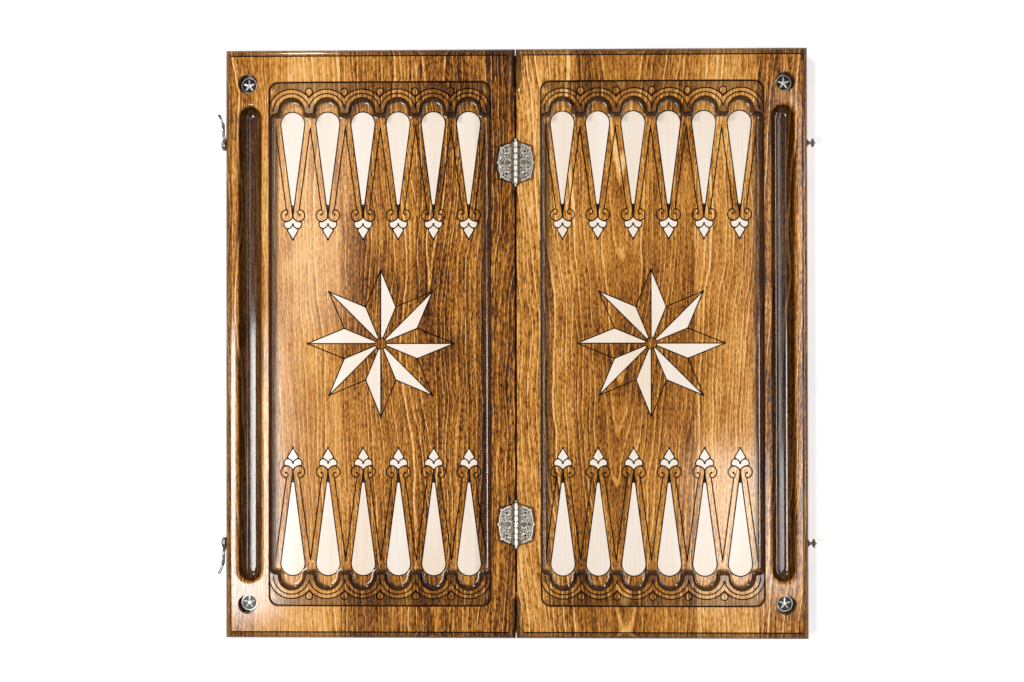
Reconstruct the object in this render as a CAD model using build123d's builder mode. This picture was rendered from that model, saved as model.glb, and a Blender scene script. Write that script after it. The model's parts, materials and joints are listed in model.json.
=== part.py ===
"""A carved backgammon case, lying open and flat.

Two milled wooden halves are hinged along the seam. Each half has a stepped playing field
with scalloped ends, inlaid points and an eight-bladed star, a trough for the pieces, two
round wells with medallions, and its share of two box hinges. Two hooks on the left side
catch two studs on the right side when the case is shut.

X runs across the halves, Y along the seam, Z up out of the playing faces. The origin is on
the underside, in the middle of the seam. Sizes are in millimetres.
"""

import os
from math import acos, cos, pi, radians, sin, sqrt

from build123d import *

os.makedirs("parts", exist_ok=True)

# The two halves
half_width = 299.5
length = 608.0
thickness = 30.0
seam_gap = 1.0
shut_gap = 0.3
edge_round = 7.0
edge_quirk = 0.5
back_round = 3.0

# The stepped field: a shallow ledge, then a floor whose ends are rows of arches
field_from_seam = 24.7
field_from_side = 45.0
field_from_end = 33.5
ledge_depth = 2.5
ledge_corner = 10.0
field_depth = 13.0
field_corner = 7.0
cove_radius = 5.5
arch_from_ledge_end = 29.9
arch_radius = 14.2
tongue_drop = 2.4
tongue_round = 2.0

# The inlays
points_per_row = 6
point_pitch = 36.6
inlay_thickness = 2.0
inlay_fit = 0.05
point_round = 12.3
point_from_arch = 12.3
point_taper = 95.0
finial_gap = 1.7
finial_lobe_x = 8.8
finial_lobe_drop = 5.0
finial_lobe_hollow = 1.5
finial_lobe_bow = 1.97
finial_waist_x = 5.2
finial_waist_drop = 12.2
finial_petal_x = 5.5
finial_petal_drop = 14.2
finial_drop = 23.5
star_tips = 8
star_radius = 76.4
star_waist_radius = 41.0
star_core_radius = 6.6

# The troughs and the wells
trough_from_side = 25.65
trough_length = 489.5
trough_width = 23.5
trough_depth = 16.5
trough_bottom_round = 9.5
trough_lip = 3.0
well_from_side = 23.4
well_from_end = 35.6
well_radius = 10.1
well_depth = 14.0
medallion_radius = 8.0
medallion_thickness = 3.0
medallion_rim = 1.0
medallion_dish = 0.5

# The rounded reliefs at both ends of the seam
relief_round = 7.5
relief_length = 38.0
relief_cutter_core = 4.1

# The hinges
hinge_from_end = 118.0
hinge_knuckles = 7
knuckle_gap = 0.25
barrel_length = 42.8
barrel_radius = 2.5
barrel_clearance = 0.4
hinge_pin_radius = 1.2
hinge_pin_fit = 0.05
ball_radius = 1.6
ball_neck_radius = 1.0
ball_collar_radius = 1.9
ball_collar_length = 0.8
ball_clearance = 0.5
spigot_radius = 0.7
spigot_length = 2.4
leaf_width = 19.4
leaf_end_setback = 2.0
leaf_end_bow = 1.0
leaf_shoulder_x = 13.4
leaf_shoulder_drop = 1.2
leaf_spur_x = 16.6
leaf_spur_y = 16.8
leaf_spur_hollow = 0.4
leaf_waist_x = 15.7
leaf_waist_drop = 3.9
leaf_side_bow = 0.5
leaf_cheek_x = 17.5
leaf_cheek_y = 3.2
leaf_tip_hollow = 0.3
leaf_thickness = 1.1
leaf_rim_height = 0.5
leaf_rim_width = 1.0
leaf_below_face = 0.1
mortise_margin = 1.0
mortise_side_bow = 0.2
mortise_corner_x_margin = 1.8
mortise_corner_y_margin = 0.2
mortise_end_bow = 0.5
mortise_shoulder_width = 4.7
mortise_shoulder_setback = 0.8
mortise_neck_hollow = 1.0
nail_x = 9.4
nail_y = 11.5
nail_radius = 0.6
nail_head_radius = 1.15
nail_length = 10.0

# The hooks and the studs
catch_below_face = 8.15
catch_from_end = 98.0
catch_play = 0.1
hook_pin_radius = 1.5
hook_pin_fit = 0.05
hook_pin_depth = 12.0
hook_pin_head_radius = 4.6
hook_pin_head_height = 2.0
hook_pin_head_rim = 0.6
hook_eye_radius = 5.7
hook_root_x = 4.2
hook_root_half = 3.6
hook_lip_rise = 2.6
hook_thickness = 2.6
hook_jaw_thickness = 2.2
hook_jaw_before = 5.2
hook_jaw_after = 5.4
hook_tail = 32.0
hook_stand_out = 8.8
mouth_clearance = 0.3
washer_thickness = 0.5
washer_radius = 3.4
stud_spike_radius = 1.5
stud_spike_depth = 12.0
stud_collar_radius = 3.3
stud_collar_height = 2.0
stud_collar_rim = 0.8
stud_neck_radius = 1.6
stud_neck_height = 3.1
stud_head_radius = 4.75
stud_head_bevel = 0.6
stud_head_height = 2.2
stud_head_rim = 0.7
stud_head_bow = 0.46
stud_nub_radius = 1.2
stud_nub_height = 1.5

# Places that follow from the sizes above
half_middle = seam_gap / 2 + half_width / 2
outer_side = seam_gap / 2 + half_width
flat_level = thickness - edge_quirk
ledge_level = thickness - ledge_depth
field_level = thickness - field_depth
field_width = half_width - field_from_seam - field_from_side
field_middle = seam_gap / 2 + field_from_seam + field_width / 2
field_end = length / 2 - field_from_end
arch_line = field_end - arch_from_ledge_end
shoulder_line = arch_line - tongue_drop
point_line = arch_line - point_from_arch
finial_line = point_line - point_taper - finial_gap
trough_middle = outer_side - trough_from_side
trough_floor = thickness - trough_depth
well_x = outer_side - well_from_side
well_y = length / 2 - well_from_end
hinge_y = length / 2 - hinge_from_end
hinge_axis_z = thickness + shut_gap / 2
knuckle_length = (barrel_length - (hinge_knuckles - 1) * knuckle_gap) / hinge_knuckles
knuckle_step = knuckle_length + knuckle_gap
ball_middle = ball_collar_length + sqrt(ball_radius**2 - ball_neck_radius**2)
barrel_seat = barrel_radius + barrel_clearance
ball_seat_length = barrel_length + 2 * (ball_middle + ball_radius + ball_clearance)
leaf_top = thickness - leaf_below_face - leaf_rim_height
leaf_bottom = leaf_top - leaf_thickness
catch_y = length / 2 - catch_from_end
catch_z = thickness - catch_below_face
catch_span = 2 * (hinge_axis_z - catch_z)
hook_seat = washer_thickness + catch_play
jaw_seat = stud_collar_height + 4 * catch_play

halves = [("left", -1), ("right", 1)]
rows = [("far", 1), ("near", -1)]
along_y = (90, 0, 0)


def near_level(z):
    """Two heights that pick out the edges lying at one level."""
    return (z - 0.01, z + 0.01)


def point_outline(grow=0.0):
    """A long drop: a round end about the origin, and two straight flanks to a tip at -Y."""
    end = point_round + grow
    taper = point_taper * end / point_round
    turn = acos(end / taper)
    middle = (pi - turn) / 2
    touch = (end * sin(turn), -end * cos(turn))
    with BuildSketch() as drop:
        with BuildLine():
            ThreePointArc((0, end), (end * sin(middle), end * cos(middle)), touch)
            Line(touch, (0, -taper))
            mirror(about=Plane.YZ)
        make_face()
    return drop.sketch


def finial_outline(grow=0.0):
    """A lotus bud that hangs from the origin: two side lobes and a pointed petal."""
    lobe = (finial_lobe_x, -finial_lobe_drop)
    waist = (finial_waist_x, -finial_waist_drop)
    with BuildSketch() as bud:
        with BuildLine():
            SagittaArc((0, 0), lobe, -finial_lobe_hollow)
            SagittaArc(lobe, waist, finial_lobe_bow)
            Polyline(waist, (finial_petal_x, -finial_petal_drop), (0, -finial_drop))
            mirror(about=Plane.YZ)
        make_face()
        if grow:
            scale(by=1 + grow / finial_lobe_x)
    return bud.sketch.moved(Location((0, grow, 0)))


def star_outline(grow=0.0):
    """The pale halves of the blades, each one clockwise of its blade's middle line."""
    waist_turn = radians(180 / star_tips)
    waist = (star_waist_radius * cos(waist_turn), -star_waist_radius * sin(waist_turn))
    with BuildSketch() as blade:
        with BuildLine():
            Polyline((0, 0), (star_radius, 0), waist, close=True)
        make_face()
        if grow:
            offset(amount=grow, kind=Kind.INTERSECTION)
        Circle(star_core_radius - grow, mode=Mode.SUBTRACT)
    with BuildSketch() as star:
        with PolarLocations(0, star_tips, start_angle=90):
            add(blade.sketch)
    return star.sketch


def mortise_outline():
    """Half of a hinge's mortise: it swells round the leaf and closes in to the seam."""
    corner = (leaf_spur_x + mortise_corner_x_margin, leaf_spur_y + mortise_corner_y_margin)
    shoulder = (barrel_seat + mortise_shoulder_width, barrel_length / 2 - mortise_shoulder_setback)
    neck = (ball_collar_radius, ball_seat_length / 2)
    with BuildSketch() as mortise:
        with BuildLine():
            SagittaArc((leaf_width + mortise_margin, 0), corner, -mortise_side_bow)
            SagittaArc(corner, shoulder, -mortise_end_bow)
            SagittaArc(shoulder, neck, mortise_neck_hollow)
            Polyline(neck, (-seam_gap, neck[1]), (-seam_gap, 0))
            mirror(about=Plane.XZ)
        make_face()
    return mortise.sketch


def leaf_outline():
    """A leaf's plate, from beside the barrel out to its corner spurs and middle tip."""
    root = (barrel_seat, barrel_length / 2 - leaf_end_setback)
    shoulder = (leaf_shoulder_x, leaf_spur_y - leaf_shoulder_drop)
    spur = (leaf_spur_x, leaf_spur_y)
    waist = (leaf_waist_x, leaf_spur_y - leaf_waist_drop)
    cheek = (leaf_cheek_x, leaf_cheek_y)
    with BuildSketch() as plate:
        with BuildLine():
            Line((barrel_seat, 0), root)
            SagittaArc(root, shoulder, leaf_end_bow)
            SagittaArc(shoulder, spur, -leaf_spur_hollow)
            SagittaArc(spur, waist, -leaf_spur_hollow)
            SagittaArc(waist, cheek, leaf_side_bow)
            SagittaArc(cheek, (leaf_width, 0), -leaf_tip_hollow)
            mirror(about=Plane.XZ)
        make_face()
    return plate.sketch


def point_places(side, end):
    """A place for the round end of each point of one row, its tip towards the middle."""
    first = side * field_middle - point_pitch * (points_per_row - 1) / 2
    turn = 0 if end > 0 else 180
    return [
        Location((first + i * point_pitch, end * point_line, 0), (0, 0, turn))
        for i in range(points_per_row)
    ]


def finial_places(side, end):
    """A place for each finial of one row, past the tip of its point."""
    drop = Location((0, finial_line - point_line, 0))
    return [place * drop for place in point_places(side, end)]


def leaf_place(side, end):
    """Where a leaf's or a mortise's outline goes: it is drawn for the right side."""
    return Location((0, end * hinge_y, 0), (0, 0, 0 if side > 0 else 180))


def nail_places(side, end, z):
    """The two nails of a leaf."""
    return [(side * nail_x, end * hinge_y + y, z) for y in (-nail_y, nail_y)]


def side_plane(side, end):
    """A plane through a catch's axis: its X is up, and its Y is straight out of the side."""
    origin = (side * outer_side, end * catch_y, catch_z)
    return Plane(origin=origin, x_dir=(0, 0, 1), z_dir=(0, side, 0))


def side_axis(side, end):
    """The axis of a catch, square to the side of the case."""
    return Axis((side * outer_side, end * catch_y, catch_z), (side, 0, 0))


def cut_field(board, side):
    """The ledge's recess, the scalloped floor below it and the coves round its foot."""
    with BuildSketch(Plane.XY.offset(thickness)) as recess:
        with Locations((side * field_middle, 0)):
            RectangleRounded(field_width, 2 * field_end, ledge_corner)
    extrude(recess.sketch, amount=-ledge_depth, mode=Mode.SUBTRACT)
    with BuildSketch(Plane.XY.offset(ledge_level)) as floor:
        with Locations((side * field_middle, 0)):
            Rectangle(field_width, 2 * shoulder_line)
            with GridLocations(point_pitch, point_pitch, points_per_row, 1):
                SlotOverall(2 * (arch_line + arch_radius), 2 * arch_radius, rotation=90)
        ends = floor.vertices().filter_by(lambda v: abs(abs(v.Y) - shoulder_line) < 0.01)
        ends = ends.sort_by(lambda v: abs(v.X - side * field_middle))
        fillet(ends[:-4], tongue_round)
        outermost = floor.vertices().group_by(lambda v: round(abs(v.X - side * field_middle), 2))
        fillet(outermost[-1], field_corner)
    extrude(floor.sketch, amount=-(field_depth - ledge_depth), mode=Mode.SUBTRACT)
    fillet(board.edges().filter_by_position(Axis.Z, *near_level(field_level)), cove_radius)


def cut_trough_and_wells(board, side):
    """The long trough in the outer stile, and the wells beyond its two ends."""
    with BuildSketch(Plane.XY.offset(thickness)) as trough:
        with Locations((side * trough_middle, 0)):
            SlotOverall(trough_length, trough_width, rotation=90)
    extrude(trough.sketch, amount=-trough_depth, mode=Mode.SUBTRACT)
    foot = board.edges().filter_by_position(Axis.Z, *near_level(trough_floor))
    fillet(foot, trough_bottom_round)
    lip = board.edges().filter_by_position(Axis.Z, *near_level(thickness)).filter_by(
        lambda e: abs(abs(e.center().X) - trough_middle) <= trough_width / 2 + 0.01
        and e.bounding_box().max.Y < trough_length / 2 + 0.01
        and e.bounding_box().min.Y > -trough_length / 2 - 0.01
    )
    fillet(lip, trough_lip)
    with Locations(*((side * well_x, end * well_y, thickness) for _, end in rows)):
        Hole(well_radius, well_depth)


def cut_reliefs(side):
    """Both ends of the seam's top edge, rounded by a cutter that runs out in an arc."""
    edge = side * seam_gap / 2
    core = edge - side * relief_cutter_core
    top = edge + side * relief_round
    foot = flat_level - relief_round
    bow = relief_round * (1 - sqrt(0.5))
    for _, end in rows:
        stop = end * (length / 2 - relief_length)
        with BuildSketch(Plane.XZ.offset(-stop)) as waste:
            with BuildLine():
                ThreePointArc((edge, foot), (edge + side * bow, flat_level - bow), (top, flat_level))
                Polyline(
                    (top, flat_level), (top, thickness), (core, thickness), (core, foot), (edge, foot),
                )
            make_face()
        extrude(waste.sketch, amount=-end * relief_length, mode=Mode.SUBTRACT)
        revolve(waste.sketch, axis=Axis((core, stop, 0), (0, 0, 1)), mode=Mode.SUBTRACT)


def cut_hinge_seats(side):
    """The mortises for the leaves, the grooves for the barrels and the nail holes."""
    ball_seat = ball_collar_radius + barrel_clearance
    for _, end in rows:
        with BuildSketch(Plane.XY.offset(leaf_bottom)) as mortise:
            with Locations(leaf_place(side, end)):
                add(mortise_outline())
        extrude(mortise.sketch, amount=thickness - leaf_bottom, mode=Mode.SUBTRACT)
        with Locations((0, end * hinge_y, hinge_axis_z)):
            Cylinder(barrel_seat, barrel_length + 2 * knuckle_gap, rotation=along_y, mode=Mode.SUBTRACT)
            Cylinder(ball_seat, ball_seat_length, rotation=along_y, mode=Mode.SUBTRACT)
        with Locations(*nail_places(side, end, leaf_bottom)):
            Hole(nail_radius, nail_length - leaf_thickness)


def cut_inlay_pockets(side):
    """Shallow pockets in the field's floor, each a glue line larger than its inlay."""
    with BuildSketch(Plane.XY.offset(field_level)) as pockets:
        for _, end in rows:
            with Locations(*point_places(side, end)):
                add(point_outline(inlay_fit))
            with Locations(*finial_places(side, end)):
                add(finial_outline(inlay_fit))
        with Locations((side * field_middle, 0)):
            add(star_outline(inlay_fit))
    extrude(pockets.sketch, amount=-inlay_thickness, mode=Mode.SUBTRACT)


def dome_arc(foot_radius, foot, top):
    """A turned dome's outline: a ball's arc from its foot up to the axis."""
    rise = top - foot
    return RadiusArc((foot_radius, foot), (0, top), -(foot_radius**2 + rise**2) / (2 * rise))


def make_board(side):
    """One half of the case, milled from one glued-up board; side is -1 or 1."""
    with BuildPart() as board:
        with BuildSketch():
            with Locations((side * half_middle, 0)):
                Rectangle(half_width, length)
        extrude(amount=flat_level)
        top_edges = board.edges().group_by(Axis.Z)[-1]
        fillet(top_edges.filter_by(lambda e: abs(e.center().X) > seam_gap), edge_round)
        fillet(board.edges().group_by(Axis.Z)[0], back_round)
        with BuildSketch(Plane.XY.offset(flat_level)):
            with Locations((side * (half_middle - edge_round / 2), 0)):
                Rectangle(half_width - edge_round, length - 2 * edge_round)
        extrude(amount=edge_quirk)
        cut_field(board, side)
        cut_trough_and_wells(board, side)
        cut_reliefs(side)
        cut_hinge_seats(side)
        cut_inlay_pockets(side)
        hole_radius, hole_depth = hook_pin_radius, hook_pin_depth
        if side > 0:
            hole_radius, hole_depth = stud_spike_radius, stud_spike_depth
        with Locations(*(side_plane(side, end).location for _, end in rows)):
            Cylinder(hole_radius, 2 * hole_depth, rotation=along_y, mode=Mode.SUBTRACT)
    return board


def make_ball():
    """A turned collar and ball for a barrel's end: it stands on the origin, along Y."""
    tip = ball_middle + ball_radius
    with BuildPart() as ball:
        with BuildSketch():
            with BuildLine():
                Polyline(
                    (0, tip), (0, 0), (ball_collar_radius, 0),
                    (ball_collar_radius, ball_collar_length), (ball_neck_radius, ball_collar_length),
                )
                ThreePointArc((ball_neck_radius, ball_collar_length), (ball_radius, ball_middle), (0, tip))
            make_face()
        revolve(axis=Axis.Y)
    return ball.part


def make_leaf(side, end):
    """A hinge leaf: a plate with a raised rim, and every second knuckle of the barrel."""
    first = 0 if side < 0 else 1
    middle = (hinge_knuckles - 1) / 2
    knuckles = [end * hinge_y + (i - middle) * knuckle_step for i in range(first, hinge_knuckles, 2)]
    tab = barrel_seat + leaf_rim_width
    bore = hinge_pin_radius + hinge_pin_fit
    with BuildPart() as leaf:
        with BuildSketch(Plane.XY.offset(leaf_bottom)):
            with Locations(leaf_place(side, end)):
                add(leaf_outline())
        extrude(amount=leaf_thickness)
        with BuildSketch(Plane.XY.offset(leaf_top)):
            with Locations(leaf_place(side, end)):
                add(leaf_outline())
                add(offset(leaf_outline(), -leaf_rim_width, mode=Mode.PRIVATE), mode=Mode.SUBTRACT)
        extrude(amount=leaf_rim_height)
        with Locations(*((side * tab / 2, y, leaf_bottom) for y in knuckles)):
            Box(tab, knuckle_length, leaf_thickness, align=(Align.CENTER, Align.CENTER, Align.MIN))
        with Locations(*((0, y, hinge_axis_z) for y in knuckles)):
            Cylinder(barrel_radius, knuckle_length, rotation=along_y)
        with Locations((0, end * hinge_y, hinge_axis_z)):
            Cylinder(bore, 2 * barrel_length, rotation=along_y, mode=Mode.SUBTRACT)
        with Locations(*nail_places(side, end, leaf_top)):
            CounterSinkHole(nail_radius, nail_head_radius, leaf_thickness)
    return leaf


def make_nails(side, end):
    """The two countersunk nails of a leaf."""
    cone = nail_head_radius - nail_radius
    with BuildPart() as nail:
        with BuildSketch(Plane.XZ):
            with BuildLine():
                Polyline(
                    (0, 0), (nail_head_radius, 0), (nail_radius, -cone),
                    (nail_radius, 2 * nail_radius - nail_length), (0, -nail_length), close=True,
                )
            make_face()
        revolve(axis=Axis.Z)
    with BuildPart() as nails:
        with Locations(*nail_places(side, end, leaf_top)):
            add(nail.part)
    return nails


def make_hook():
    """The far hook, as cast: its outline seen from the side, bent as seen from above."""
    plane = Plane(origin=(-outer_side, catch_y, catch_z), x_dir=(0, 1, 0), z_dir=(1, 0, 0))
    mouth = stud_neck_radius + mouth_clearance
    jaw = catch_span + mouth
    root = (hook_root_x, hook_root_half)
    near_lip, far_lip = (catch_span - mouth, hook_lip_rise), (jaw, hook_lip_rise)
    waist = (hook_root_x + 3.8, 1.9)
    beak, dip, tail_root = (jaw + 1.2, 3.6), (jaw + 4.4, 1.4), (jaw + 9.0, 1.9)
    tail_top, tail_middle = (hook_tail - 0.6, 4.6), (hook_tail - 1.4, 1.4)
    tail_foot = (hook_tail, -1.6)
    throat, chin = (jaw + 8.0, -2.4), (jaw + 3.0, -4.2)
    belly, arm_foot = (catch_span, -5.0), (hook_root_x + 4.8, -4.0)
    root_foot = (hook_root_x, -hook_root_half)
    with BuildPart() as hook:
        with BuildSketch(plane):
            with BuildLine():
                Spline(root, waist, near_lip)
                Line(near_lip, far_lip)
                Spline(far_lip, beak, dip, tail_root, tail_top)
                ThreePointArc(tail_top, tail_middle, tail_foot)
                Spline(tail_foot, throat, chin, belly, arm_foot, root_foot)
                Line(root_foot, root)
            make_face()
            Circle(hook_eye_radius)
            Circle(hook_pin_radius + hook_pin_fit, mode=Mode.SUBTRACT)
            with Locations((catch_span, 0)):
                Circle(mouth, mode=Mode.SUBTRACT)
                Rectangle(2 * mouth, beak[1], align=(Align.CENTER, Align.MIN), mode=Mode.SUBTRACT)
        extrude(amount=-hook_stand_out)
        base = hook_seat + hook_thickness
        near_jaw, far_jaw = catch_span - hook_jaw_before, catch_span + hook_jaw_after
        with BuildSketch(Plane(origin=(-outer_side, catch_y, catch_z - hook_eye_radius))):
            with BuildLine():
                Polyline(
                    (-hook_seat, -hook_eye_radius), (-hook_seat, hook_eye_radius),
                    (-jaw_seat, near_jaw), (-jaw_seat, far_jaw),
                    (hook_thickness - hook_stand_out, hook_tail), (-hook_stand_out, hook_tail),
                    (-jaw_seat - hook_jaw_thickness, far_jaw), (-jaw_seat - hook_jaw_thickness, near_jaw),
                    (-base, hook_eye_radius), (-base, -hook_eye_radius), close=True,
                )
            make_face()
        extrude(amount=2 * hook_eye_radius, mode=Mode.INTERSECT)
    return hook


def make_hook_pin():
    """The far hook's pin: a shank driven into the side, and a domed head."""
    plane = side_plane(-1, 1)
    head = hook_seat + hook_thickness + catch_play
    with BuildPart() as pin:
        with BuildSketch(plane):
            with BuildLine():
                Polyline(
                    (0, head + hook_pin_head_height), (0, -hook_pin_depth),
                    (hook_pin_radius, hook_pin_radius - hook_pin_depth), (hook_pin_radius, head),
                    (hook_pin_head_radius, head), (hook_pin_head_radius, head + hook_pin_head_rim),
                )
                dome_arc(hook_pin_head_radius, head + hook_pin_head_rim, head + hook_pin_head_height)
            make_face()
        revolve(axis=side_axis(-1, 1))
    return pin


def make_washer():
    """The thin washer between the far hook's eye and the wood."""
    bore = hook_pin_radius + hook_pin_fit
    with BuildPart() as washer:
        with BuildSketch(side_plane(-1, 1)):
            with Locations((bore, 0)):
                Rectangle(washer_radius - bore, washer_thickness, align=(Align.MIN, Align.MIN))
        revolve(axis=side_axis(-1, 1))
    return washer


def make_stud():
    """The far stud: a spike in the wood, a collar, a neck for the hook and a mushroom head."""
    neck_end = stud_collar_height + stud_neck_height
    head_end = neck_end + stud_head_height
    rim = (stud_head_radius, neck_end + stud_head_rim)
    nub_foot = (stud_nub_radius, head_end)
    with BuildPart() as stud:
        with BuildSketch(side_plane(1, 1)):
            with BuildLine():
                Polyline(
                    (0, head_end + stud_nub_height), (0, -stud_spike_depth),
                    (stud_spike_radius, stud_spike_radius - stud_spike_depth), (stud_spike_radius, 0),
                    (stud_collar_radius, 0), (stud_collar_radius, stud_collar_rim),
                    (stud_neck_radius, stud_collar_height), (stud_neck_radius, neck_end),
                    (stud_head_radius - stud_head_bevel, neck_end), rim,
                )
                SagittaArc(rim, nub_foot, -stud_head_bow)
                dome_arc(stud_nub_radius, head_end, head_end + stud_nub_height)
            make_face()
        revolve(axis=side_axis(1, 1))
    return stud


# The two wooden halves
for half, side in halves:
    board = make_board(side)
    board.part.label = f"{half}_board"
    export_step(board.part, f"parts/{half}_board.step")

# The pale inlays: points, finials and stars, flush with the field's floor
inlay_plane = Plane.XY.offset(field_level - inlay_thickness)
for half, side in halves:
    for row, end in rows:
        for number, place in enumerate(point_places(side, end), start=1):
            with BuildPart() as point:
                with BuildSketch(inlay_plane):
                    with Locations(place):
                        add(point_outline())
                extrude(amount=inlay_thickness)
            point.part.label = f"{half}_{row}_point_{number}"
            export_step(point.part, f"parts/{point.part.label}.step")

        with BuildPart() as finials:
            with BuildSketch(inlay_plane):
                with Locations(*finial_places(side, end)):
                    add(finial_outline())
            extrude(amount=inlay_thickness)
        finials.part.label = f"{half}_{row}_finials"
        export_step(finials.part, f"parts/{finials.part.label}.step")

    with BuildPart() as star:
        with BuildSketch(inlay_plane):
            with Locations((side * field_middle, 0)):
                add(star_outline())
        extrude(amount=inlay_thickness)
    star.part.label = f"{half}_star_blades"
    export_step(star.part, f"parts/{star.part.label}.step")

# The medallions: dished metal discs on the floors of the wells
with BuildPart() as disc:
    with BuildSketch(Plane.XZ):
        with BuildLine():
            dished = medallion_thickness - medallion_dish
            inner = medallion_radius - medallion_rim
            Polyline(
                (0, dished), (0, 0), (medallion_radius, 0), (medallion_radius, medallion_thickness),
                (inner, medallion_thickness), (inner - medallion_dish, dished), close=True,
            )
        make_face()
    revolve(axis=Axis.Z)
for half, side in halves:
    for row, end in rows:
        with BuildPart() as medallion:
            with Locations((side * well_x, end * well_y, thickness - well_depth)):
                add(disc.part)
        medallion.part.label = f"{half}_{row}_medallion"
        export_step(medallion.part, f"parts/{medallion.part.label}.step")

# The hinges: two leaves with their nails, a pin with one formed ball, and a pressed-on ball
for row, end in rows:
    for half, side in halves:
        leaf = make_leaf(side, end)
        leaf.part.label = f"{row}_hinge_{half}_leaf"
        export_step(leaf.part, f"parts/{leaf.part.label}.step")
        nails = make_nails(side, end)
        nails.part.label = f"{row}_hinge_{half}_nails"
        export_step(nails.part, f"parts/{nails.part.label}.step")

    with BuildPart() as pin:
        with Locations((0, end * hinge_y, hinge_axis_z)):
            Cylinder(hinge_pin_radius, barrel_length, rotation=along_y)
        with Locations((0, end * hinge_y + barrel_length / 2, hinge_axis_z)):
            add(make_ball())
        with Locations((0, end * hinge_y - (barrel_length + spigot_length) / 2, hinge_axis_z)):
            Cylinder(spigot_radius, spigot_length, rotation=along_y)
    pin.part.label = f"{row}_hinge_pin"
    export_step(pin.part, f"parts/{pin.part.label}.step")

    with BuildPart() as cap:
        with Locations(Location((0, end * hinge_y - barrel_length / 2, hinge_axis_z), (0, 0, 180))):
            add(make_ball())
        with Locations((0, end * hinge_y - (barrel_length + spigot_length) / 2, hinge_axis_z)):
            Cylinder(spigot_radius, spigot_length, rotation=along_y, mode=Mode.SUBTRACT)
    cap.part.label = f"{row}_hinge_cap"
    export_step(cap.part, f"parts/{cap.part.label}.step")

# The catches: the near ones are the far ones, mirrored
catches = [
    ("hook", make_hook()),
    ("hook_pin", make_hook_pin()),
    ("hook_washer", make_washer()),
    ("catch_stud", make_stud()),
]
for name, far_piece in catches:
    far_piece.part.label = f"far_{name}"
    export_step(far_piece.part, f"parts/far_{name}.step")
    with BuildPart() as near_piece:
        mirror(far_piece.part, about=Plane.XZ)
    near_piece.part.label = f"near_{name}"
    export_step(near_piece.part, f"parts/near_{name}.step")
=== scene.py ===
"""The looks of a carved backgammon case that lies open on a pale floor.

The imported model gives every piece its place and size. The wooden halves, their inlays, the
hinge leaves and the medallions are carved here: their flat faces are cut again along the
engraved lines, so that each line is a real groove or a real ridge. All lengths are in metres.
"""

import json
import math

import bmesh
import bpy
import numpy as np
from mathutils import Matrix, Vector
from mathutils.geometry import delaunay_2d_cdt

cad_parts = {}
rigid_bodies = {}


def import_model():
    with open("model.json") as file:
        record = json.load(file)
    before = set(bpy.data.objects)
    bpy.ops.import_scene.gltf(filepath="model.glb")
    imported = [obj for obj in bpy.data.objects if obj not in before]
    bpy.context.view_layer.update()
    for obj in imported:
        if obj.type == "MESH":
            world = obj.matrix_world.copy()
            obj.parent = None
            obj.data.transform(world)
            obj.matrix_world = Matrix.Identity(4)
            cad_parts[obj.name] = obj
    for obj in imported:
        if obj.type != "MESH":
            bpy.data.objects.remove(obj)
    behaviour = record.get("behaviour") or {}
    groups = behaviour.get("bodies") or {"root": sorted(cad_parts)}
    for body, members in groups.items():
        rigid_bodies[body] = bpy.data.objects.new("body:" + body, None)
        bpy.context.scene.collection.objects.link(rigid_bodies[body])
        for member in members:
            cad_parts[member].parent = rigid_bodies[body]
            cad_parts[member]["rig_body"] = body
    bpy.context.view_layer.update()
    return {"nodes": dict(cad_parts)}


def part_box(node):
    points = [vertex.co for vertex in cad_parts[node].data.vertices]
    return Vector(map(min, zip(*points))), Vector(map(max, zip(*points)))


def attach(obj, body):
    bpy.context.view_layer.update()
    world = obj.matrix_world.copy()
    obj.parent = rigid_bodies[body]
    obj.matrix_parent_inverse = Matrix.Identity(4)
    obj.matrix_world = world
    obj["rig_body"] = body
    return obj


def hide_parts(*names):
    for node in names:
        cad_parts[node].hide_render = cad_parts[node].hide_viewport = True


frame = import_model()

MM = 0.001

# The case's main places
CASE_SIDE, CASE_END, CASE_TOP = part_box("right_board")[1]
FLOOR_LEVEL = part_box("right_far_point_1")[1].z
LEDGE_LEVEL = CASE_TOP - 2.5 * MM
LEAF_LEVEL = CASE_TOP - 0.6 * MM
MEDALLION_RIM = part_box("right_far_medallion")[1].z
FIELD_MIDDLE = sum(corner.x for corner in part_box("right_star_blades")) / 2
FIELD_HALF_WIDTH = 114.9 * MM
FIELD_END = CASE_END - 33.5 * MM
LEDGE_CORNER = 10.0 * MM
EDGE_ROUND = 7.0 * MM
QUIRK_DEPTH = 0.5 * MM
HINGE_Y = CASE_END - 118.0 * MM
KNUCKLES = 7
KNUCKLE_STEP = 6.15 * MM
KNUCKLE_HALF = 2.95 * MM
BARREL_RADIUS = 2.5 * MM

# The rows of points
POINTS = 6
PITCH = 36.6 * MM
POINT_ROUND = 12.3 * MM
POINT_TAPER = 95.0 * MM
ARCH_LINE = FIELD_END - 29.9 * MM
ARCH_RADIUS = 14.2 * MM
TONGUE_LINE = ARCH_LINE - 2.4 * MM
POINT_LINE = ARCH_LINE - 12.3 * MM
FINIAL_LINE = POINT_LINE - POINT_TAPER - 1.7 * MM

# The ledges' double arcs, and the drops between them
LEDGE_CENTRE = ARCH_LINE - 1.1 * MM
LEDGE_ARCS = (23.3 * MM, 18.8 * MM)
LEDGE_DROP = LEDGE_CENTRE + 20.7 * MM

# The star
STAR_TIPS = 8
STAR_RADIUS = 76.4 * MM
STAR_WAIST = 41.0 * MM
STAR_CORE = 5.9 * MM

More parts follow.
